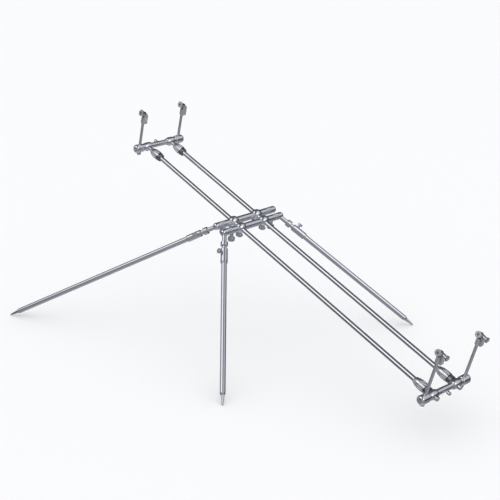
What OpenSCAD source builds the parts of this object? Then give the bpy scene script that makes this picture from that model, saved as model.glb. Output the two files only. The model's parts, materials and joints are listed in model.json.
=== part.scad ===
// Rod pod: two main tubes across a hub on three legs, with a buzz bar at each end.
// The pod is drawn level, with the hub's middle at the origin and the tubes along Y.
// Then it is tilted and lifted so that its three spikes stand on the floor, Z = 0.

/* [Main tubes] */
// Distance between the two main tubes, centre to centre
bar_gap = 100; // [90:1:130]
// Outside diameter of a main tube
tube_d = 16; // [15:0.5:17]
// Wall of a main tube
tube_wall = 1.45; // [1:0.05:2]
// Distance from the middle of the hub to the low buzz bar
low_reach = 929; // [600:1:1100]
// Distance from the middle of the hub to the high buzz bar
high_reach = 538; // [400:1:800]
// Length of tube that pokes out past the low buzz bar's boss
tube_poke = 4.5; // [4:0.5:30]
// Length of the plug inside its tube
plug_grip = 12; // [8:1:20]
// Height of the plug's dome
plug_dome = 4; // [2:0.5:6]
// Length of extension rod to be seen at the high end
rod_show = 18; // [14:1:60]
// Length of extension rod inside each main tube, below the collet nut
rod_insert = 200; // [120:1:300]

/* [Collet nuts] */
// Length of a collet nut
nut_len = 45; // [40:1:55]
// Largest diameter of a collet nut
nut_d = 32; // [29:0.5:36]
// Diameter of the nut's small end
nut_nose_d = 20.4; // [19.5:0.1:23]
// Distance from the nut's big end to its widest place
nut_belly = 14; // [8:1:20]
// Number of flutes round a nut
nut_flutes = 20; // [12:1:28]
// Radius of a flute
flute_r = 1.6; // [1:0.1:2.2]
// Distance from the nut's big end to its flutes
flute_from = 3; // [1:0.5:6]
// Depth of a flute at the nut's widest place
flute_deep = 1; // [0.6:0.1:1.4]
// Diameter of the collet thread
thread_d = 22.8; // [22:0.2:24]
// Length of the collet thread inside the nut
thread_len = 20; // [14:1:22]
// Length of the tapered collet jaws
jaw_len = 12; // [8:1:14]
// Width of the slits between the jaws
jaw_slit = 1.4; // [0.8:0.1:2]
// Wall of the jaws at their tip
jaw_tip_wall = 1.2; // [0.8:0.1:1.3]
// Diameter of the ferrule's ring
ring_d = 28; // [26:0.5:29]
// Length of a high ferrule's ring
ring_len = 7; // [5:0.5:10]
// Length of a low ferrule's ring, with the part let into the boss
low_ring_len = 12; // [9:0.5:16]
// Depth of the low ferrule's seat in the boss
low_seat = 2; // [1:0.5:4]
// Dark gap between the ring and the nut
nut_gap = 1.8; // [1:0.1:3]
// Depth of the tube's seat in its ferrule
tube_seat = 6; // [4:0.5:8]

/* [Buzz bars] */
// Diameter of the bar between the bosses
buzz_d = 19.5; // [14:0.5:22]
// Diameter of the bosses
buzz_boss_d = 30; // [29:0.5:32]
// Width of the bosses that hold the main bars
buzz_boss_w = 29; // [28:0.5:31]
// Distance between the two uprights of a buzz bar
upright_gap = 170.4; // [166:0.2:190]
// Length of bar outside an upright's axis
buzz_end = 21.1; // [18:0.1:30]
// Length of the end boss inside an upright's axis
end_boss_in = 14; // [10:0.5:16]
// Diameter of the neck between the bosses
buzz_neck_d = 26; // [22:0.5:27]
// Diameter of the middle peg's head
peg_d = 11; // [8:0.5:14]
// Length of the middle peg outside the bar
peg_len = 16; // [10:0.5:24]
// Length of the peg's neck outside the bar
peg_neck = 3; // [1:0.5:6]
// Depth of the hexagon in the peg's end
peg_hex_deep = 3; // [2:0.5:6]
// Diameter of the small screws under the bosses
cap_screw_d = 10; // [7:0.5:12]
// Height of the small screws' heads
cap_screw_h = 4.5; // [3:0.5:7]
// Depth of the small screws' seats in the boss
cap_seat = 1; // [0.5:0.1:2]
// Depth of the hexagon in the small screws' heads
cap_hex_deep = 2; // [1:0.5:3]

/* [Uprights] */
// Diameter of an upright
upright_d = 9.6; // [8.6:0.2:10.2]
// Height of the low uprights above the bars, up to the head
low_upright_h = 139; // [80:1:220]
// Height of the high uprights above the bars, up to the head
high_upright_h = 106; // [80:1:220]
// Depth of the upright's foot below the bar's axis
upright_sink = 7; // [4:0.5:8]
// Diameter of the slotted foot screws
foot_d = 15; // [12:0.5:18]
// Height of the slotted foot screws
foot_h = 11.5; // [8:0.5:16]
// Width of the slot
foot_slot = 3.2; // [2:0.2:4]
// Depth of the slot
foot_slot_deep = 6.5; // [3:0.5:7]
// Diameter of the foot screw's shank
foot_shank_d = 5; // [4:0.2:5.6]
// Length of the foot screw's shank inside the upright
foot_grip = 8; // [5:0.5:14]

/* [Heads] */
// Diameter of the head's collar
collar_d = 16; // [14.5:0.5:19]
// Height of the head's collar
collar_h = 23; // [20:0.5:24]
// Length of upright inside the collar
collar_seat = 18; // [14:0.5:19]
// Height of the pivot above the foot of the collar
pivot_rise = 35; // [35:0.5:44]
// Height of the cheek's foot above the foot of the collar
cheek_from = 4; // [2:0.5:6]
// Distance from the top of the cheek's web to the top of the collar
web_drop = 3; // [1:0.5:5]
// Thickness of the cheek
cheek_t = 4; // [3:0.2:6]
// Width of the cheek
cheek_w = 13.5; // [12:0.5:18]
// Distance from the upright's axis to the cheek
cheek_y = 12; // [11.5:0.2:14]
// Diameter of the alarm socket
socket_d = 18.6; // [17:0.2:20]
// Diameter of the socket's rim
rim_d = 20.6; // [20.2:0.2:22]
// Height of the rim
rim_h = 4.5; // [3:0.5:6]
// Height of the socket's mouth above its pivot
socket_rise = 17; // [15:0.5:22]
// Height of the flat under the high head screws' knobs, out of the socket's ball
socket_flat = 0.5; // [0.2:0.1:1]
// Diameter of the thread in the socket, for a 3/8 inch stem
stem_d = 8.4; // [8:0.1:9.6]
// Depth of the thread in the socket
stem_deep = 12; // [9:0.5:12.3]
// Lean of the sockets to the left
socket_lean = 60; // [0:1:70]
// Diameter of the pivot screw
pivot_d = 6; // [4:0.2:6.4]
// Diameter of the head screw's knob
head_knob_d = 16.4; // [12:0.2:20]
// Length of the low head screws' necks
low_head_neck = 4; // [2:0.5:6]
// Length of the high head screws' necks
high_head_neck = 3; // [2:0.5:6]
// Thickness of the head screw's knob
head_knob_t = 8; // [5:0.5:10]

/* [Hub] */
// Distance between the two hub bars
hub_gap = 40; // [39:0.5:60]
// Diameter of a hub bar
hub_d = 24; // [22:0.5:26]
// Diameter of the hub bar's bosses
hub_boss_d = 36; // [32:0.5:37]
// Width of the hub bar's bosses
hub_boss_w = 33; // [28:0.5:34]
// Length of a hub bar, without its knuckles
hub_len = 194; // [190:1:220]
// Diameter of the clamp screws' shanks
clamp_d = 7.8; // [6:0.2:9]
// Diameter of the clamp screws' necks
clamp_neck_d = 14; // [10:0.5:16]
// Length of the clamp screws' necks
clamp_neck_len = 9; // [6:0.5:14]
// Diameter of the clamp screws' discs
clamp_knob_d = 24.4; // [18:0.2:30]
// Thickness of the clamp screws' discs
clamp_knob_t = 5; // [3:0.5:8]
// Height of the button on the clamp screws' discs
clamp_button_h = 1.5; // [1:0.5:3]
// Distance of the knuckle locks from the hub's middle
lock_x = 86; // [84:0.5:89]
// Lean of the knuckle locks away from the hub's middle
lock_lean = 6; // [0:1:20]
// Diameter of the knuckle lock's screw
lock_d = 6.8; // [5:0.2:8]
// Diameter of the knuckle lock's neck
lock_neck_d = 12; // [9:0.5:14]
// Length of the knuckle lock's neck
lock_neck_len = 15.5; // [9:0.5:18]
// Diameter of the knuckle lock's knob
lock_knob_d = 24; // [18:0.5:26]
// Thickness of the knuckle lock's knob
lock_knob_t = 11; // [7:0.5:14]

/* [Knuckles] */
// Length of a knuckle outside the hub bar
knuckle_len = 36; // [35:0.5:46]
// Diameter of a knuckle
knuckle_d = 24; // [22:0.5:26]
// Radius of the knuckle's domed end
knuckle_dome = 9; // [4:0.5:10]
// Number of rings cut round a knuckle
knuckle_rings = 3; // [1:1:3]
// Distance from one ring to the next
groove_step = 3.6; // [3:0.1:4]
// Width of the rings cut round a knuckle
groove_w = 1.6; // [1:0.1:2.5]
// Depth of the rings cut round a knuckle
groove_deep = 1; // [0.5:0.1:1.5]
// Distance of the leg's axis from the knuckle's outer end
leg_inset = 14; // [13:0.5:18]
// Diameter of the knuckle's spindle
spindle_d = 13; // [11:0.5:15]
// Length of the knuckle's spindle
spindle_len = 23; // [20:0.5:26]
// Depth of the ring cut in the spindle for the lock
lock_ring_deep = 1.2; // [0.6:0.1:1.5]

/* [Legs] */
// Length of the long leg, from the knuckle's axis to the spike's tip
long_leg = 856; // [760:1:920]
// Length of the two short legs
short_leg = 604; // [520:1:660]
// Sideways splay of the long leg
long_splay = 35; // [30:1:40]
// Sideways splay of the short legs
short_splay = 30; // [25:1:35]
// Swing of the long leg towards the high end
long_swing = 40; // [35:1:46]
// Swing of the short legs towards the low end
short_swing = 60.4; // [54:0.2:62]
// Outside diameter of a leg tube
leg_d = 18; // [16.5:0.5:18.5]
// Wall of a leg tube
leg_wall = 1.45; // [1:0.05:2]
// Distance from the knuckle's axis to the upper end of the leg rod
leg_rod_from = 3; // [1:0.5:6]
// Length of leg rod inside its tube
leg_overlap = 150; // [130:1:300]
// Distance from the knuckle's axis to the top of the leg tube
leg_tube_from = 62; // [60:1:110]
// Distance from the knuckle's axis to the leg's ring
leg_ring_from = 36; // [26:0.5:38]
// Diameter of the leg's ring
leg_ring_d = 24.6; // [20:0.2:27]
// Length of the leg's ring
leg_ring_len = 16; // [8:0.5:17]
// Diameter of the leg tube's lock collar
leg_collar_d = 23.6; // [21:0.2:26]
// Length of the leg tube's lock collar
leg_collar_len = 53; // [30:0.5:60]
// Distance from the top of the leg tube to its screw
leg_screw_at = 15; // [12:0.5:20]
// Diameter of the leg screws' knobs
leg_knob_d = 17; // [14:0.5:22]
// Thickness of the leg screws' knobs
leg_knob_t = 7.5; // [5:0.5:10]
// Length of the leg screws' necks
leg_neck_len = 6; // [3:0.5:10]
// Diameter of the leg screws' shanks
leg_screw_d = 5; // [4:0.2:6]
// Length of a spike below the tube
spike_len = 36; // [26:1:60]
// Length of the spike's shoulder
spike_shoulder = 6; // [3:0.5:10]
// Diameter of the spike below its shoulder
spike_d = 12; // [8:0.5:14]
// Radius of the spike's tip
spike_tip_r = 2.6; // [1.5:0.1:3.5]
// Length of the spike inside its tube
spike_grip = 15; // [8:1:30]

/* [Clearances] */
// Radial clearance of a sliding or turning fit
slide_gap = 0.05; // [0.02:0.01:0.1]
// Radial clearance of a seat that doesn't move
seat_gap = 0.02; // [0.01:0.01:0.1]
// Clearance between faces of pieces that move
free_gap = 0.3; // [0.2:0.05:0.5]
// Radius of the flutes round the knobs
grip_r = 1.6; // [1:0.1:2]
// Depth of the dish in a knob's outer face
dish_deep = 0.8; // [0.4:0.1:1.2]
// Size of the chamfers and small roundings
edge = 1.5; // [0.5:0.1:2]

/* [Hidden] */
$fn = 72;
nut_bands = 12;
barrel_bands = 12;
tiny = 0.01;

tube_r = tube_d / 2;
rod_d = tube_d - 2 * tube_wall - 2 * slide_gap;
leg_rod_d = leg_d - 2 * leg_wall - 2 * slide_gap;
bar_x = bar_gap / 2;
upright_x = upright_gap / 2;
buzz_r = buzz_boss_d / 2;
hub_y = hub_gap / 2;
leg_x = hub_len / 2 + free_gap + knuckle_len - leg_inset;

// The chain of pieces along a main bar, from the high buzz bar to the end of the tube
nut_high_y = high_reach - buzz_r - rod_show - nut_len;
ring_high_y = nut_high_y - nut_gap;
tube_high_y = ring_high_y - ring_len + tube_seat;
tube_low_y = -low_reach - buzz_r - tube_poke;
rod_low_y = nut_high_y - rod_insert;
rod_high_y = high_reach + rod_d / 2;

// The same at the low end, where the ferrule is let into the boss
ring_low_y = -low_reach + buzz_r - low_seat + low_ring_len;
nut_low_y = ring_low_y + nut_gap;

// Where the spikes' tips are, and the tilt that puts all three on the floor
function leg_tip(y, length, splay, swing) =
    [leg_x + length * sin(splay), y + length * cos(splay) * sin(swing), -length * cos(splay) * cos(swing)];
long_tip = leg_tip(hub_y, long_leg, long_splay, long_swing);
short_tip = leg_tip(-hub_y, short_leg, short_splay, -short_swing);
pod_tilt = atan((short_tip.z - long_tip.z) / (long_tip.y - short_tip.y));
pod_h = spike_tip_r - short_tip.y * sin(pod_tilt) - short_tip.z * cos(pod_tilt);

// The floor's middle under the pod's box: between the outer spikes, and between the low head screws
// and the long leg's tip, or the high peg where that is farther
head_reach = cheek_y + cheek_t + free_gap + low_head_neck + head_knob_t;
peg_end_y = (high_reach + buzz_d / 2 + peg_len) * cos(pod_tilt) + peg_d / 2 * sin(pod_tilt);
knob_end_y = -(low_reach + head_reach) * cos(pod_tilt)
    - (low_upright_h + pivot_rise + head_knob_d / 2) * sin(pod_tilt);
mid_x = (short_tip.x - long_tip.x) / 2;
long_tip_y = long_tip.y * cos(pod_tilt) - long_tip.z * sin(pod_tilt) + spike_tip_r;
mid_y = (max(peg_end_y, long_tip_y) + knob_end_y) / 2;

// Placing

// Stands the level pod on its legs
module on_legs() translate([-mid_x, -mid_y, pod_h]) rotate([pod_tilt, 0, 0]) children();

// Puts a right-hand piece on its side: 1 is right, -1 is left
module on_side(side) mirror([side < 0 ? 1 : 0, 0, 0]) children();

// Turns a piece drawn along Z to lie along X or along Y
module along_x(x = 0) translate([x, 0, 0]) rotate([0, 90, 0]) children();
module along_y(y = 0) translate([0, y, 0]) rotate([-90, 0, 0]) children();

// Moves to a knuckle's frame, with the leg along minus Z: swing leans it along the bars
module at_leg(y, splay, swing)
    translate([leg_x, y, 0]) rotate([swing, 0, 0]) rotate([0, -splay, 0]) children();

// Shapes used again and again

// A turned drum with rounded edges, c0 at its foot and c1 at its head
module drum(d, h, c0, c1)
    rotate_extrude() intersection() {
        square([d / 2, h]);
        union() {
            square([d / 2 - max(c0, c1), h]);
            translate([0, c0]) square([d / 2, h - c0 - c1]);
            square([d / 2 - c0, h / 2]);
            translate([0, h / 2]) square([d / 2 - c1, h / 2]);
            translate([d / 2 - c0, c0]) circle(r = c0);
            translate([d / 2 - c1, h - c1]) circle(r = c1);
        }
    }

// A barrel about the origin: narrow bands that follow an arc from end_d up to d and back
module barrel(d, h, end_d) {
    rise = (d - end_d) / 2;
    arc_r = (h * h / 4 + rise * rise) / (2 * rise);
    step = h / barrel_bands;
    function side(z) = d / 2 - arc_r + sqrt(arc_r * arc_r - z * z);
    rotate_extrude() polygon(concat([[0, -h / 2]],
        [for (i = [-barrel_bands / 2 : barrel_bands / 2]) [side(i * step), i * step]], [[0, h / 2]]));
}

// A round bar with a hole through it
module pipe(d, bore, h)
    difference() {
        cylinder(d = d, h = h);
        translate([0, 0, -1]) cylinder(d = bore, h = h + 2);
    }

// Flutes cut along a knob or nut
module flutes(count, d, r, h)
    for (i = [0 : count - 1])
        rotate([0, 0, 360 * i / count]) translate([d / 2, 0, -1]) cylinder(r = r, h = h + 2);

// The ring that is cut round a bar of diameter d
module ring_groove(d) pipe(d + 4, d - 2 * groove_deep, groove_w);

// A knob for fingers, from z = 0 up: a fluted drum with a shallow dish in its outer face
module knob(d, t, count)
    difference() {
        drum(d, t, edge / 2, edge);
        flutes(count, d + grip_r, grip_r, t);
        translate([0, 0, t - dish_deep]) cylinder(d = d * 0.55, h = t);
    }

// A thumb screw along Z: its shank starts at z0, its knob's outer face is at the top
module thumb_screw(shank_d, shank_len, neck_d, neck_len, knob_d, knob_t, count) {
    cylinder(d = shank_d, h = shank_len + tiny);
    translate([0, 0, shank_len]) cylinder(d = neck_d, h = neck_len + tiny);
    translate([0, 0, shank_len + neck_len]) knob(knob_d, knob_t, count);
}

// Main tubes and what is fixed to them

module main_tube()
    color("silver") translate([bar_x, 0, 0]) along_y(tube_low_y)
        pipe(tube_d, tube_d - 2 * tube_wall, tube_high_y - tube_low_y);

// A plug in the low end of each tube, with a domed head
module tube_plug()
    color("dimgray") translate([bar_x, tube_low_y, 0]) rotate([90, 0, 0]) {
        translate([0, 0, -plug_grip])
            cylinder(d = tube_d - 2 * tube_wall - 2 * seat_gap, h = plug_grip + tiny);
        drum(tube_d - 2 * seat_gap, plug_dome, tiny, plug_dome - 1);
    }

// A ferrule: ring, threaded nose and slit jaws, drawn along Z with the ring's front face at z = 0
module ferrule(ring, grip_d, seat_d, seat_deep) {
    nose = nut_gap + thread_len;
    tip_d = grip_d + 2 * jaw_tip_wall;
    bore_d = grip_d + 2 * slide_gap;
    difference() {
        union() {
            translate([0, 0, -ring]) drum(ring_d, ring, edge / 2, edge);
            translate([0, 0, -edge]) cylinder(d = thread_d, h = nose + edge);
            translate([0, 0, nose - tiny]) cylinder(d1 = thread_d, d2 = tip_d, h = jaw_len);
        }
        translate([0, 0, -ring - 1]) cylinder(d = bore_d, h = ring + nose + jaw_len + 2);
        if (seat_deep > 0) translate([0, 0, -ring - 1]) cylinder(d = seat_d, h = seat_deep + 1);
        for (turn = [0, 90])
            rotate([0, 0, turn]) translate([-thread_d, -jaw_slit / 2, nose - thread_len / 2])
                cube([2 * thread_d, jaw_slit, thread_len + jaw_len]);
    }
}

module tube_ferrule()
    color("gray") translate([bar_x, 0, 0]) along_y(ring_high_y)
        ferrule(ring_len, rod_d, tube_d + 2 * seat_gap, tube_seat);

// Collet nuts

// The nut's outside: narrow bands that follow an arc from end to end, cut by flutes
module nut_shape() {
    drop = (nut_d - nut_nose_d) / 2;
    run = nut_len - nut_belly;
    arc_r = (run * run + drop * drop) / (2 * drop);
    step = nut_len / nut_bands;
    function side(z) = nut_d / 2 - arc_r + sqrt(arc_r * arc_r - pow(z - nut_belly, 2));
    difference() {
        rotate_extrude() polygon(concat([[0, 0]], [for (i = [0 : nut_bands]) [side(i * step), i * step]],
            [[0, nut_len]]));
        translate([0, 0, flute_from + 1])
            flutes(nut_flutes, nut_d + 2 * (flute_r - flute_deep), flute_r, nut_len);
    }
}

// Grips a bar of grip_d: its inside follows the ferrule's nose and jaws
module collet_nut(grip_d) {
    tip_d = grip_d + 2 * jaw_tip_wall + 2 * free_gap;
    hole_d = grip_d + 2 * free_gap;
    difference() {
        nut_shape();
        translate([0, 0, -1]) cylinder(d = thread_d + 2 * free_gap, h = thread_len + free_gap + 1);
        translate([0, 0, thread_len + free_gap - tiny])
            cylinder(d1 = thread_d + 2 * free_gap, d2 = tip_d, h = jaw_len);
        translate([0, 0, thread_len + jaw_len - tiny]) cylinder(d = tip_d, h = 2 * free_gap);
        cylinder(d = hole_d, h = nut_len + 1);
    }
}

module high_collet_nut()
    color("lightgray") translate([bar_x, 0, 0]) along_y(nut_high_y) collet_nut(rod_d);

module low_collet_nut()
    color("lightgray") translate([bar_x, 0, 0]) along_y(nut_low_y) collet_nut(tube_d);

// Buzz bars

module extension_rod()
    color("silver") translate([bar_x, 0, 0]) along_y(rod_low_y)
        drum(rod_d, rod_high_y - rod_low_y, edge / 2, edge / 2);

// Half of a buzz bar, turned about X: middle bar, main boss, neck and end boss
module buzz_half() {
    along_x(-tiny) cylinder(d = buzz_d, h = bar_x);
    along_x(bar_x) barrel(buzz_boss_d, buzz_boss_w, buzz_neck_d);
    along_x(bar_x) cylinder(d = buzz_neck_d, h = upright_x - bar_x);
    along_x(upright_x - end_boss_in) drum(buzz_boss_d, end_boss_in + buzz_end, 4, 9);
}

// What each upright needs cut out of its end boss
module upright_hole() translate([upright_x, 0, 0]) {
    translate([0, 0, -upright_sink]) cylinder(d = upright_d + 2 * slide_gap, h = buzz_boss_d);
    translate([0, 0, -buzz_boss_d]) cylinder(d = foot_shank_d + 2 * seat_gap, h = buzz_boss_d);
    translate([0, 0, -buzz_boss_d - buzz_r + edge]) cylinder(d = foot_d + 2 * seat_gap, h = buzz_boss_d);
}

// What a small screw under a boss needs cut out of it
module cap_screw_hole() translate([bar_x, 0, -buzz_boss_d]) {
    cylinder(d = cap_screw_d / 2 + 2 * seat_gap, h = buzz_boss_d);
    cylinder(d = cap_screw_d + 2 * seat_gap, h = buzz_r + cap_seat);
}

module peg_hole(out) along_y(out > 0 ? 0 : -buzz_d) cylinder(d = peg_d / 2 + 2 * seat_gap, h = buzz_d);

module high_buzz_bar() color("silver") translate([0, high_reach, 0]) difference() {
    union() for (side = [-1, 1]) on_side(side) buzz_half();
    for (side = [-1, 1]) on_side(side) {
        upright_hole();
        cap_screw_hole();
        translate([bar_x, 0, 0]) along_y(-buzz_boss_d)
            cylinder(d = rod_d + 2 * seat_gap, h = buzz_boss_d + rod_d / 2 + seat_gap);
    }
    peg_hole(1);
}

module low_buzz_bar() color("silver") translate([0, -low_reach, 0]) difference() {
    union() for (side = [-1, 1]) on_side(side) buzz_half();
    for (side = [-1, 1]) on_side(side) {
        upright_hole();
        cap_screw_hole();
        translate([bar_x, 0, 0]) along_y(-buzz_boss_d)
            cylinder(d = tube_d + 2 * slide_gap, h = 2 * buzz_boss_d);
        translate([bar_x, 0, 0]) along_y(buzz_r - low_seat)
            cylinder(d = ring_d + 2 * seat_gap, h = buzz_r);
    }
    peg_hole(-1);
}

module low_ferrule()
    color("gray") translate([bar_x, 0, 0]) along_y(ring_low_y)
        ferrule(low_ring_len, tube_d, tube_d, 0);

// The peg in the middle of a buzz bar, out past its surface
module peg() {
    along_y() translate([0, 0, seat_gap]) cylinder(d = peg_d / 2, h = buzz_d / 2 + peg_neck + 1);
    along_y(buzz_d / 2 + peg_neck) difference() {
        drum(peg_d, peg_len - peg_neck, edge, edge * 1.5);
        translate([0, 0, peg_len - peg_neck - peg_hex_deep]) cylinder(d = peg_d * 0.45, h = peg_len, $fn = 6);
    }
}

// A small socket screw under a boss, reaching up to the bar that it holds
module cap_screw(bar_d) translate([bar_x, 0, 0]) {
    translate([0, 0, -buzz_r]) cylinder(d = cap_screw_d / 2, h = buzz_r - bar_d / 2 - free_gap);
    translate([0, 0, -buzz_r + cap_seat - cap_screw_h]) difference() {
        drum(cap_screw_d, cap_screw_h, edge, tiny);
        translate([0, 0, -1]) cylinder(d = cap_screw_d * 0.5, h = cap_hex_deep + 1, $fn = 6);
    }
}

module high_bar_screws() color("gray") translate([0, high_reach, 0]) {
    peg();
    for (side = [-1, 1]) on_side(side) cap_screw(rod_d);
}

module low_bar_screws() color("gray") translate([0, -low_reach, 0]) {
    mirror([0, 1, 0]) peg();
    for (side = [-1, 1]) on_side(side) cap_screw(tube_d);
}

// The slotted screw that holds an upright from below
module foot_screw() translate([upright_x, 0, 0]) {
    translate([0, 0, -buzz_r + edge - foot_h]) difference() {
        drum(foot_d, foot_h, edge, tiny);
        rotate([0, 0, 45]) translate([-foot_d, -foot_slot / 2, -1])
            cube([2 * foot_d, foot_slot, foot_slot_deep + 1]);
    }
    translate([0, 0, -buzz_r]) cylinder(d = foot_shank_d, h = buzz_r - upright_sink + foot_grip);
}

module foot_screws(y) color("gray") translate([0, y, 0])
    for (side = [-1, 1]) on_side(side) foot_screw();

// Uprights and heads

module upright(h) color("silver") translate([upright_x, 0, 0]) difference() {
    translate([0, 0, -upright_sink + free_gap])
        cylinder(d = upright_d, h = h + collar_seat + upright_sink - free_gap);
    translate([0, 0, -upright_sink - 1])
        cylinder(d = foot_shank_d + 2 * slide_gap, h = foot_grip + free_gap + 1);
}

// The bracket on an upright: a collar and one cheek with the pivot's hole
module head_bracket(h) color("lightsteelblue") translate([upright_x, 0, h]) difference() {
    union() {
        drum(collar_d, collar_h, edge, edge);
        translate([-cheek_w / 2, -cheek_y - cheek_t, cheek_from])
            cube([cheek_w, cheek_t, pivot_rise - cheek_from]);
        translate([0, -cheek_y, pivot_rise]) rotate([90, 0, 0]) cylinder(d = cheek_w, h = cheek_t);
        translate([-collar_d / 3, -cheek_y - tiny, cheek_from])
            cube([collar_d * 2 / 3, cheek_y, collar_h - cheek_from - web_drop]);
    }
    translate([0, 0, -1]) cylinder(d = upright_d + 2 * seat_gap, h = collar_seat + 1 + seat_gap);
    translate([0, 0, pivot_rise]) along_y(-cheek_y - cheek_t - 1)
        cylinder(d = pivot_d + 2 * slide_gap, h = cheek_t + 2);
}

// The tilting socket, drawn upright about its pivot: out is the side that the screw comes from
module socket_shape(out) difference() {
    union() {
        sphere(d = socket_d);
        cylinder(d = socket_d, h = socket_rise - rim_h);
        translate([0, 0, socket_rise - rim_h - tiny]) drum(rim_d, rim_h, edge / 2, edge / 2);
        along_y(-cheek_y + free_gap) cylinder(d = socket_d * 0.75, h = cheek_y);
        if (out > 0) along_y() cylinder(d = socket_d * 0.75, h = socket_d / 2 + socket_flat);
    }
    translate([0, 0, socket_rise - stem_deep]) cylinder(d = stem_d, h = stem_deep + 1);
    pivot_deep = cheek_y + 1 + (out > 0 ? socket_d : socket_d / 3);
    along_y(-cheek_y - 1) cylinder(d = pivot_d + 2 * slide_gap, h = pivot_deep);
}

module alarm_socket(side, h, out) color("gainsboro") translate([side * upright_x, 0, h + pivot_rise])
    rotate([0, -socket_lean, 0]) socket_shape(out);

// The head screw's knob is outside: past the cheek at the low end, past the socket at the high end
module low_head_screw() color("gray")
    translate([upright_x, socket_d / 3 - free_gap, low_upright_h + pivot_rise]) rotate([90, 0, 0])
        thumb_screw(pivot_d, socket_d / 3 + cheek_y + cheek_t, pivot_d * 1.7, low_head_neck,
            head_knob_d, head_knob_t, 12);

module high_head_screw() color("gray")
    translate([upright_x, -cheek_y - cheek_t, high_upright_h + pivot_rise]) rotate([-90, 0, 0])
        thumb_screw(pivot_d, cheek_y + cheek_t + socket_d / 2 + socket_flat + free_gap, pivot_d * 1.7,
            high_head_neck, head_knob_d, head_knob_t, 12);

// Hub

// A hub bar: a turned bar with two bosses bored for the tubes and a bore in each end
module hub_bar(out) color("silver") difference() {
    union() {
        along_x(-hub_len / 2) drum(hub_d, hub_len, edge, edge);
        for (side = [-1, 1]) along_x(side * bar_x) barrel(hub_boss_d, hub_boss_w, hub_d - 1);
    }
    for (side = [-1, 1]) on_side(side) {
        along_x(hub_len / 2 - 2.5 * groove_w) ring_groove(hub_d);
        translate([bar_x, 0, 0]) along_y(-hub_boss_d)
            cylinder(d = tube_d + 2 * slide_gap, h = 2 * hub_boss_d);
        translate([bar_x, 0, -hub_boss_d]) cylinder(d = clamp_d + 2 * slide_gap, h = hub_boss_d);
        along_x(hub_len / 2 - spindle_len - free_gap)
            cylinder(d = spindle_d + 2 * slide_gap, h = 2 * spindle_len);
        translate([lock_x, 0, 0]) rotate([out * lock_lean, 0, 0])
            translate([0, 0, -hub_d]) cylinder(d = lock_d + 2 * slide_gap, h = hub_d);
    }
}

// A clamp screw under a boss, clear of the main tube that it presses on
module clamp_screw() color("gray") translate([bar_x, 0, -tube_r - free_gap]) rotate([180, 0, 0]) {
    thumb_screw(clamp_d, hub_boss_d / 2 - tube_r, clamp_neck_d, clamp_neck_len,
        clamp_knob_d, clamp_knob_t, 18);
    translate([0, 0, hub_boss_d / 2 - tube_r + clamp_neck_len + clamp_knob_t - 1])
        drum(clamp_neck_d, clamp_button_h + 1, tiny, edge);
}

// A knuckle lock: its screw's tip runs in the ring cut in the spindle
module lock_knob(out) color("gray") translate([lock_x, 0, 0]) rotate([out * lock_lean, 0, 0]) {
    tip = spindle_d / 2 - lock_ring_deep + free_gap;
    translate([0, 0, -tip]) rotate([180, 0, 0])
        thumb_screw(lock_d, hub_d / 2 + free_gap - tip, lock_neck_d, lock_neck_len,
            lock_knob_d, lock_knob_t, 14);
}

// A knuckle: a domed, ringed end with a spindle in the hub bar, bored for the leg's rod
module knuckle(y, splay, swing) color("lightgray") {
    from = hub_len / 2 + free_gap;
    difference() {
        translate([0, y, 0]) union() {
            along_x(from) drum(knuckle_d, knuckle_len, edge, knuckle_dome);
            along_x(from - spindle_len) drum(spindle_d, spindle_len + 1, edge / 2, tiny);
        }
        translate([0, y, 0]) for (i = [1 : knuckle_rings])
            along_x(from + i * groove_step) ring_groove(knuckle_d);
        translate([0, y, 0]) along_x(lock_x - lock_d / 2 - free_gap)
            pipe(spindle_d + 2, spindle_d - 2 * lock_ring_deep, lock_d + 2 * free_gap);
        at_leg(y, splay, swing) translate([0, 0, -knuckle_d])
            cylinder(d = leg_rod_d + 2 * seat_gap, h = knuckle_d - leg_rod_from);
    }
}

// Legs, drawn along minus Z from the knuckle's axis

module leg_rod() color("silver") rotate([180, 0, 0]) {
    translate([0, 0, leg_rod_from + seat_gap])
        drum(leg_rod_d, leg_tube_from + leg_overlap - leg_rod_from, edge / 2, edge / 2);
    translate([0, 0, leg_ring_from]) drum(leg_ring_d, leg_ring_len, edge, edge);
}

module leg_tube(length, turn) color("silver") rotate([180, 0, 0]) difference() {
    union() {
        translate([0, 0, leg_tube_from]) drum(leg_collar_d, leg_collar_len, edge, edge);
        translate([0, 0, leg_tube_from + edge])
            cylinder(d = leg_d, h = length - spike_len - leg_tube_from - edge);
    }
    translate([0, 0, leg_tube_from - 1]) cylinder(d = leg_rod_d + 2 * slide_gap, h = length);
    translate([0, 0, leg_tube_from + leg_collar_len - 3 * groove_w]) ring_groove(leg_collar_d);
    translate([0, 0, leg_tube_from + leg_screw_at]) rotate([0, 90, turn])
        cylinder(d = leg_screw_d + 2 * slide_gap, h = leg_collar_d);
}

module leg_screw(turn) color("gray") rotate([180, 0, 0])
    translate([0, 0, leg_tube_from + leg_screw_at]) rotate([0, 90, turn])
        translate([0, 0, leg_rod_d / 2 + free_gap])
            thumb_screw(leg_screw_d, (leg_collar_d - leg_rod_d) / 2, leg_screw_d * 1.8, leg_neck_len,
                leg_knob_d, leg_knob_t, 12);

module leg_spike(length) color("gray") rotate([180, 0, 0]) {
    taper = spike_len - spike_shoulder;
    translate([0, 0, length - spike_len - spike_grip])
        cylinder(d = leg_rod_d + 2 * slide_gap - 2 * seat_gap, h = spike_grip + tiny);
    translate([0, 0, length - spike_len]) cylinder(d1 = leg_d, d2 = spike_d, h = spike_shoulder + tiny);
    translate([0, 0, length - taper]) cylinder(d1 = spike_d, d2 = 2 * spike_tip_r, h = taper);
    translate([0, 0, length]) sphere(r = spike_tip_r);
}

// Turns of the leg screws round their legs, as the photo shows them
long_screw_turn = 0;
left_screw_turn = 15;
right_screw_turn = 38;

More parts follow.
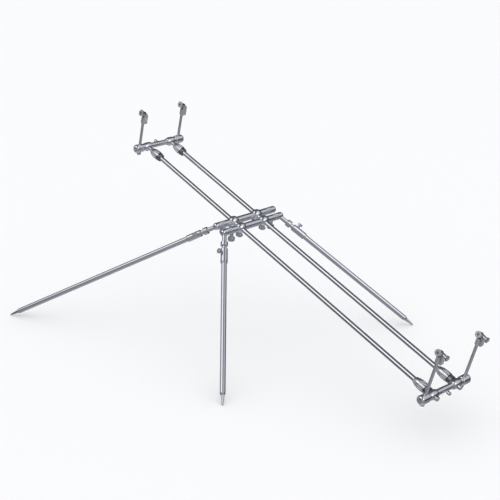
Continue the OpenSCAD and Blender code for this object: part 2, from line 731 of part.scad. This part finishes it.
module long_leg() on_side(-1) at_leg(hub_y, long_splay, long_swing) children();
module left_leg() on_side(-1) at_leg(-hub_y, short_splay, -short_swing) children();
module right_leg() on_side(1) at_leg(-hub_y, short_splay, -short_swing) children();

on_legs() on_side(-1) main_tube();  // left_main_tube
on_legs() on_side(1) main_tube();  // right_main_tube
on_legs() for (side = [-1, 1]) on_side(side) tube_plug();  // tube_plugs
on_legs() for (side = [-1, 1]) on_side(side) tube_ferrule();  // tube_ferrules
on_legs() on_side(-1) high_collet_nut();  // high_left_collet_nut
on_legs() on_side(1) high_collet_nut();  // high_right_collet_nut
on_legs() on_side(-1) low_collet_nut();  // low_left_collet_nut
on_legs() on_side(1) low_collet_nut();  // low_right_collet_nut
on_legs() for (side = [-1, 1]) on_side(side) extension_rod();  // extension_rods
on_legs() high_buzz_bar();
on_legs() high_bar_screws();
on_legs() foot_screws(high_reach);  // high_foot_screws
on_legs() low_buzz_bar();
on_legs() for (side = [-1, 1]) on_side(side) low_ferrule();  // low_ferrules
on_legs() low_bar_screws();
on_legs() foot_screws(-low_reach);  // low_foot_screws
on_legs() translate([0, high_reach, 0]) on_side(-1) upright(high_upright_h);  // high_left_upright
on_legs() translate([0, high_reach, 0]) on_side(1) upright(high_upright_h);  // high_right_upright
on_legs() translate([0, -low_reach, 0]) on_side(-1) upright(low_upright_h);  // low_left_upright
on_legs() translate([0, -low_reach, 0]) on_side(1) upright(low_upright_h);  // low_right_upright
on_legs() translate([0, high_reach, 0]) on_side(-1) head_bracket(high_upright_h);  // high_left_head_bracket
on_legs() translate([0, high_reach, 0]) on_side(1) head_bracket(high_upright_h);  // high_right_head_bracket
on_legs() translate([0, -low_reach, 0]) on_side(-1) head_bracket(low_upright_h);  // low_left_head_bracket
on_legs() translate([0, -low_reach, 0]) on_side(1) head_bracket(low_upright_h);  // low_right_head_bracket
on_legs() translate([0, high_reach, 0]) alarm_socket(-1, high_upright_h, 1);  // high_left_alarm_socket
on_legs() translate([0, high_reach, 0]) alarm_socket(1, high_upright_h, 1);  // high_right_alarm_socket
on_legs() translate([0, -low_reach, 0]) alarm_socket(-1, low_upright_h, -1);  // low_left_alarm_socket
on_legs() translate([0, -low_reach, 0]) alarm_socket(1, low_upright_h, -1);  // low_right_alarm_socket
on_legs() translate([0, high_reach, 0]) on_side(-1) high_head_screw();  // high_left_head_screw
on_legs() translate([0, high_reach, 0]) on_side(1) high_head_screw();  // high_right_head_screw
on_legs() translate([0, -low_reach, 0]) on_side(-1) low_head_screw();  // low_left_head_screw
on_legs() translate([0, -low_reach, 0]) on_side(1) low_head_screw();  // low_right_head_screw
on_legs() translate([0, hub_y, 0]) hub_bar(1);  // high_hub_bar
on_legs() translate([0, -hub_y, 0]) hub_bar(-1);  // low_hub_bar
on_legs() translate([0, hub_y, 0]) on_side(-1) clamp_screw();  // high_left_clamp_screw
on_legs() translate([0, hub_y, 0]) on_side(1) clamp_screw();  // high_right_clamp_screw
on_legs() translate([0, -hub_y, 0]) on_side(-1) clamp_screw();  // low_left_clamp_screw
on_legs() translate([0, -hub_y, 0]) on_side(1) clamp_screw();  // low_right_clamp_screw
on_legs() on_side(-1) knuckle(hub_y, long_splay, long_swing);  // long_leg_knuckle
on_legs() on_side(1) knuckle(hub_y, long_splay, long_swing);  // spare_knuckle
on_legs() on_side(-1) knuckle(-hub_y, short_splay, -short_swing);  // left_leg_knuckle
on_legs() on_side(1) knuckle(-hub_y, short_splay, -short_swing);  // right_leg_knuckle
on_legs() translate([0, hub_y, 0]) on_side(-1) lock_knob(1);  // long_leg_lock_knob
on_legs() translate([0, hub_y, 0]) on_side(1) lock_knob(1);  // spare_lock_knob
on_legs() translate([0, -hub_y, 0]) on_side(-1) lock_knob(-1);  // left_leg_lock_knob
on_legs() translate([0, -hub_y, 0]) on_side(1) lock_knob(-1);  // right_leg_lock_knob
on_legs() long_leg() leg_rod();  // long_leg_rod
on_legs() left_leg() leg_rod();  // left_leg_rod
on_legs() right_leg() leg_rod();  // right_leg_rod
on_legs() long_leg() leg_tube(long_leg, long_screw_turn);  // long_leg_tube
on_legs() left_leg() leg_tube(short_leg, left_screw_turn);  // left_leg_tube
on_legs() right_leg() leg_tube(short_leg, right_screw_turn);  // right_leg_tube
on_legs() long_leg() leg_spike(long_leg);  // long_leg_spike
on_legs() left_leg() leg_spike(short_leg);  // left_leg_spike
on_legs() right_leg() leg_spike(short_leg);  // right_leg_spike
on_legs() long_leg() leg_screw(long_screw_turn);  // long_leg_screw
on_legs() left_leg() leg_screw(left_screw_turn);  // left_leg_screw
on_legs() right_leg() leg_screw(right_screw_turn);  // right_leg_screw
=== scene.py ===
import json
import math

import bpy
from mathutils import Matrix, Vector


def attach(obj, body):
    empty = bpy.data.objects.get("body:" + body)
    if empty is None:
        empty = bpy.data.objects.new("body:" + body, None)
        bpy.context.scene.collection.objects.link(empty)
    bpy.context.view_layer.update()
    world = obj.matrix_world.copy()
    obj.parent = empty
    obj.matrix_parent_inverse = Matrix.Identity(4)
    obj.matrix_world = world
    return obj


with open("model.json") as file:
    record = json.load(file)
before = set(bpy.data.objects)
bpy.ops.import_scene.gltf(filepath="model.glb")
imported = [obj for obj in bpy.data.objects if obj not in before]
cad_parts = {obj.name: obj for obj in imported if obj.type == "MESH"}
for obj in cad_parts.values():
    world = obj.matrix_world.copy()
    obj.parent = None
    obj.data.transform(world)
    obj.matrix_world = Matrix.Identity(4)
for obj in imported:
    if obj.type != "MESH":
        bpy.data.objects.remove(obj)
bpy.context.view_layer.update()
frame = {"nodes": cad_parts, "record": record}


# The bars' own frame, as in the part's source: X across, Y along the main tubes, Z square to them.
# It starts in the middle of the four swivels, in the hub. Lengths are in metres.

joints = {j["name"]: j for j in frame["record"]["behaviour"]["joints"]}
along = joints["high_end_slide"]["axis"]
swings = [Vector(j["pos_m"]) for n, j in joints.items() if n.endswith("_swing")]
TILT = math.atan2(along[2], along[1])
HUB = sum(swings, Vector()) / len(swings)
BAR = Matrix.Translation(HUB) @ Matrix.Rotation(TILT, 4, "X")


# Materials

GRAIN_SCALE = 900.0
GRAIN_DEPTH = 0.0004
LEAST_ROUGH = 0.04
# The part of a noise's range that is stretched from the darkest to the brightest tone
NOISE_LOW, NOISE_HIGH = 0.3, 0.7


def add(tree, kind, **values):
    """A new node, with constant values on the sockets that are named, an underscore for a space."""
    n = tree.nodes.new("ShaderNode" + kind)
    for socket, value in values.items():
        n.inputs[socket.replace("_", " ")].default_value = value
    return n


def add_math(tree, operation, first, second, third=0.0):
    """A math node. Each operand is a number or the output of another node."""
    n = tree.nodes.new("ShaderNodeMath")
    n.operation = operation
    for socket, value in zip(n.inputs, (first, second, third)):
        if isinstance(value, float):
            socket.default_value = value
        else:
            tree.links.new(value, socket)
    return n.outputs[0]


def material(name, base, rough, grain=(1.0, 1.0, 1.0), grain_turn=(0.0, 0.0, 0.0), spread=0.08, tone=0.10,
             bump=0.02, cloud=14.0, metal=1.0):
    """A metal, or rubber, with fine tooling marks, a cloudy tone and a little variation in its polish."""
    m = bpy.data.materials.new(name)
    m.use_nodes = True
    tree = m.node_tree
    link = tree.links.new
    tree.nodes.clear()
    shader = add(tree, "BsdfPrincipled", Metallic=metal)
    link(shader.outputs["BSDF"], add(tree, "OutputMaterial").inputs["Surface"])

    place = add(tree, "TexCoord").outputs["Object"]
    turned = add(tree, "Mapping", Rotation=grain_turn, Scale=grain)
    link(place, turned.inputs["Vector"])
    marks = add(tree, "TexNoise", Scale=GRAIN_SCALE, Detail=3.0)
    link(turned.outputs["Vector"], marks.inputs["Vector"])
    clouds = add(tree, "TexNoise", Scale=cloud, Detail=4.0)
    link(place, clouds.inputs["Vector"])

    # The tone is half clouds and half marks
    half_marks = add_math(tree, "MULTIPLY", marks.outputs["Fac"], 0.5)
    ramp = add(tree, "ValToRGB")
    dark, bright = ramp.color_ramp.elements
    dark.position, bright.position = NOISE_LOW, NOISE_HIGH
    dark.color = (*[c * (1.0 - tone) for c in base], 1.0)
    bright.color = (*[min(1.0, c * (1.0 + tone * 0.5)) for c in base], 1.0)
    link(add_math(tree, "MULTIPLY_ADD", clouds.outputs["Fac"], 0.5, half_marks), ramp.inputs["Fac"])
    link(ramp.outputs["Color"], shader.inputs["Base Color"])

    polish = add(tree, "MapRange", From_Min=NOISE_LOW, From_Max=NOISE_HIGH,
                 To_Min=max(LEAST_ROUGH, rough - spread), To_Max=rough + spread)
    link(marks.outputs["Fac"], polish.inputs["Value"])
    link(polish.outputs["Result"], shader.inputs["Roughness"])

    relief = add(tree, "Bump", Strength=bump, Distance=GRAIN_DEPTH)
    link(marks.outputs["Fac"], relief.inputs["Height"])
    link(relief.outputs["Normal"], shader.inputs["Normal"])
    return m


# Polished tubes keep faint lengthwise draw marks, turned pieces have fine rings, screws are a little darker
TUBE = material("polished_tube", (0.76, 0.77, 0.79), 0.14, grain=(1, 0.02, 1), grain_turn=(-TILT, 0, 0),
                spread=0.04, tone=0.05)
LEG = material("leg_tube", (0.71, 0.715, 0.75), 0.16, spread=0.05, tone=0.06, cloud=30.0)
TURNED = material("turned_steel", (0.86, 0.87, 0.91), 0.14, grain=(1, 0.12, 0.12), spread=0.06, tone=0.08,
                  cloud=40.0)
NUT = material("collet_nut", (0.90, 0.90, 0.92), 0.20, grain=(0.12, 1, 0.12), grain_turn=(-TILT, 0, 0),
               spread=0.07, tone=0.12, cloud=90.0)
HEAD = material("head_steel", (0.90, 0.91, 0.96), 0.15, spread=0.05, tone=0.12, cloud=120.0)
SOCKET = material("socket_steel", (0.66, 0.67, 0.66), 0.18, spread=0.06, tone=0.12, cloud=120.0)
SCREW = material("screw_steel", (0.78, 0.79, 0.82), 0.16, spread=0.06, tone=0.16, cloud=160.0, bump=0.05)
DARK = material("dark_ferrule", (0.30, 0.31, 0.34), 0.34, spread=0.06, tone=0.15, cloud=160.0)
RUBBER = material("seal_rubber", (0.018, 0.018, 0.02), 0.55, spread=0.1, tone=0.3, cloud=200.0, metal=0.0,
                  bump=0.2)


def material_for(node):
    if "main_tube" in node or node == "extension_rods":
        return TUBE
    if node.endswith(("leg_tube", "leg_rod", "upright")):
        return LEG
    if "collet_nut" in node:
        return NUT
    if "head_bracket" in node:
        return HEAD
    if "alarm_socket" in node:
        return SOCKET
    if node in ("tube_ferrules", "low_ferrules"):
        return DARK
    if "screw" in node or "knob" in node or "spike" in node or node == "tube_plugs":
        return SCREW
    return TURNED


for name, obj in frame["nodes"].items():
    obj.data.materials.clear()
    obj.data.materials.append(material_for(name))


# Rubber rings: one in the gap behind each collet nut, one round the knob of each low head screw

BAR_X = 0.050
UPRIGHT_X = 0.0852
HIGH_GAP_Y, LOW_GAP_Y = 0.4591, -0.9031
GAP_RING_R = 0.0122
LOW_Y = -0.929
LOW_PIVOT_Z = 0.174
KNOB_RING_Y = LOW_Y - 0.0264
KNOB_RING_R = 0.0082
RING_THICK = 0.0017


def rubber_ring(name, x, y, z, radius, body):
    """A ring round an axis that runs along the tubes, its middle at x, y, z of the bars' frame."""
    bpy.ops.mesh.primitive_torus_add(major_radius=radius, minor_radius=RING_THICK / 2,
                                     major_segments=64, minor_segments=12)
    o = bpy.context.object
    o.name = name
    o.matrix_world = BAR @ Matrix.Translation((x, y, z)) @ Matrix.Rotation(math.pi / 2, 4, "X")
    for f in o.data.polygons:
        f.use_smooth = True
    o.data.materials.append(RUBBER)
    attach(o, body)


for side, s in (("left", -1), ("right", 1)):
    rubber_ring(f"high_{side}_seal_ring", s * BAR_X, HIGH_GAP_Y, 0, GAP_RING_R, "main_bars")
    rubber_ring(f"low_{side}_seal_ring", s * BAR_X, LOW_GAP_Y, 0, GAP_RING_R, "low_end")
    rubber_ring(f"low_{side}_knob_ring", s * UPRIGHT_X, KNOB_RING_Y, LOW_PIVOT_Z, KNOB_RING_R,
                f"low_{side}_head_screw")


# Floor

FLOOR_R = 60.0
FLOOR_SIDES = 48


def pale_floor():
    """A wide white disc. The metal doesn't reflect it: there the studio's own floor shows."""
    m = bpy.data.materials.new("floor_paint")
    m.use_nodes = True
    shader = m.node_tree.nodes["Principled BSDF"]
    shader.inputs["Base Color"].default_value = (0.92, 0.925, 0.93, 1)
    shader.inputs["Roughness"].default_value = 0.8
    shader.inputs["Specular IOR Level"].default_value = 0.1
    mesh = bpy.data.meshes.new("floor")
    turns = [2 * math.pi * i / FLOOR_SIDES for i in range(FLOOR_SIDES)]
    mesh.from_pydata([(FLOOR_R * math.cos(t), FLOOR_R * math.sin(t), 0) for t in turns], [],
                     [list(range(FLOOR_SIDES))])
    o = bpy.data.objects.new("floor", mesh)
    bpy.context.scene.collection.objects.link(o)
    mesh.materials.append(m)
    o.visible_glossy = False


pale_floor()


# Light

# The grey that metal reflects at each height, from straight down at 0 to straight up at 1
WALLS = [(0.0, 0.55), (0.12, 0.34), (0.30, 0.19), (0.44, 0.07), (0.53, 0.03), (0.62, 0.05), (0.80, 0.08),
         (1.0, 0.12)]
# Each soft box: where it hangs in degrees, the half width of its bright middle and of its edge, its power.
# The last three are dim fills near the floor, for the legs and for the views from other sides.
SOFT_BOXES = [(154, 50, 12, 34, 1.2), (-42, 43, 16, 40, 0.5), (-88, 36, 10, 27, 1.1),
              (-150, 10, 10, 45, 0.32), (-95, 5, 8, 38, 0.2), (110, 5, 8, 38, 0.3)]
SHINE_TINT = (0.965, 0.98, 1.05)
ROOM_COLOUR = (0.99, 0.992, 1.0, 1)
ROOM_POWER = 1.07


def vector_math(tree, operation, first, second):
    """A vector math node of an output and either another output or a constant."""
    n = tree.nodes.new("ShaderNodeVectorMath")
    n.operation = operation
    tree.links.new(first, n.inputs[0])
    if isinstance(second, tuple):
        n.inputs[1].default_value = second
    else:
        tree.links.new(second, n.inputs[1])
    return n


def studio():
    """A white room that lights evenly. In the metal shine soft boxes, dim walls and a grey floor."""
    world = bpy.data.worlds.new("studio")
    bpy.context.scene.world = world
    world.use_nodes = True
    tree = world.node_tree
    link = tree.links.new
    room = tree.nodes["Background"]
    room.inputs["Color"].default_value = ROOM_COLOUR
    room.inputs["Strength"].default_value = ROOM_POWER

    way = add(tree, "TexCoord").outputs["Generated"]
    parts = add(tree, "SeparateXYZ")
    link(way, parts.inputs[0])
    height = add(tree, "MapRange", From_Min=-1.0)
    link(parts.outputs["Z"], height.inputs["Value"])
    ramp = add(tree, "ValToRGB")
    stops = ramp.color_ramp.elements
    while len(stops) < len(WALLS):
        stops.new(0.5)
    for stop, (position, grey) in zip(stops, WALLS):
        stop.position = position
        stop.color = (grey, grey, grey, 1.0)
    link(height.outputs["Result"], ramp.inputs["Fac"])

    level = ramp.outputs["Color"]
    for azimuth, elevation, inner, outer, power in SOFT_BOXES:
        az, el = math.radians(azimuth), math.radians(elevation)
        aim = (math.cos(el) * math.cos(az), math.cos(el) * math.sin(az), math.sin(el))
        glow = add(tree, "MapRange", From_Min=math.cos(math.radians(outer)), From_Max=math.cos(math.radians(inner)),
                   To_Max=power)
        glow.interpolation_type = "SMOOTHSTEP"
        link(vector_math(tree, "DOT_PRODUCT", way, aim).outputs["Value"], glow.inputs["Value"])
        level = vector_math(tree, "ADD", level, glow.outputs["Result"]).outputs["Vector"]

    shine = add(tree, "Background")
    link(vector_math(tree, "MULTIPLY", level, SHINE_TINT).outputs["Vector"], shine.inputs["Color"])
    mix = add(tree, "MixShader")
    link(add(tree, "LightPath").outputs["Is Glossy Ray"], mix.inputs["Fac"])
    link(room.outputs[0], mix.inputs[1])
    link(shine.outputs[0], mix.inputs[2])
    link(mix.outputs[0], tree.nodes["World Output"].inputs["Surface"])


studio()


# Camera, fitted to the photograph: its place and its three directions in the bars' frame

SENSOR = 36.0
PHOTO_WIDTH = 500.0
FOCAL_PIXELS = 1111.36
CAMERA_AT = (-2.21764, -2.22636, 2.07154)
RIGHT = Vector((0.77214886, -0.61191966, 0.17129059))
DOWN = Vector((-0.25085823, -0.54121022, -0.80259681))
AHEAD = Vector((0.58382899, 0.57675456, -0.57139994))

cam_data = bpy.data.cameras.new("camera")
cam_data.sensor_width = SENSOR
cam_data.lens = SENSOR * FOCAL_PIXELS / PHOTO_WIDTH
cam_data.clip_end = 200.0
cam = bpy.data.objects.new("camera", cam_data)
bpy.context.scene.collection.objects.link(cam)
turn = Matrix((RIGHT, -DOWN, -AHEAD)).transposed().to_4x4()
cam.matrix_world = BAR @ Matrix.Translation(CAMERA_AT) @ turn
bpy.context.scene.camera = cam

view = bpy.context.scene.view_settings
view.view_transform = "Standard"
view.look = "None"
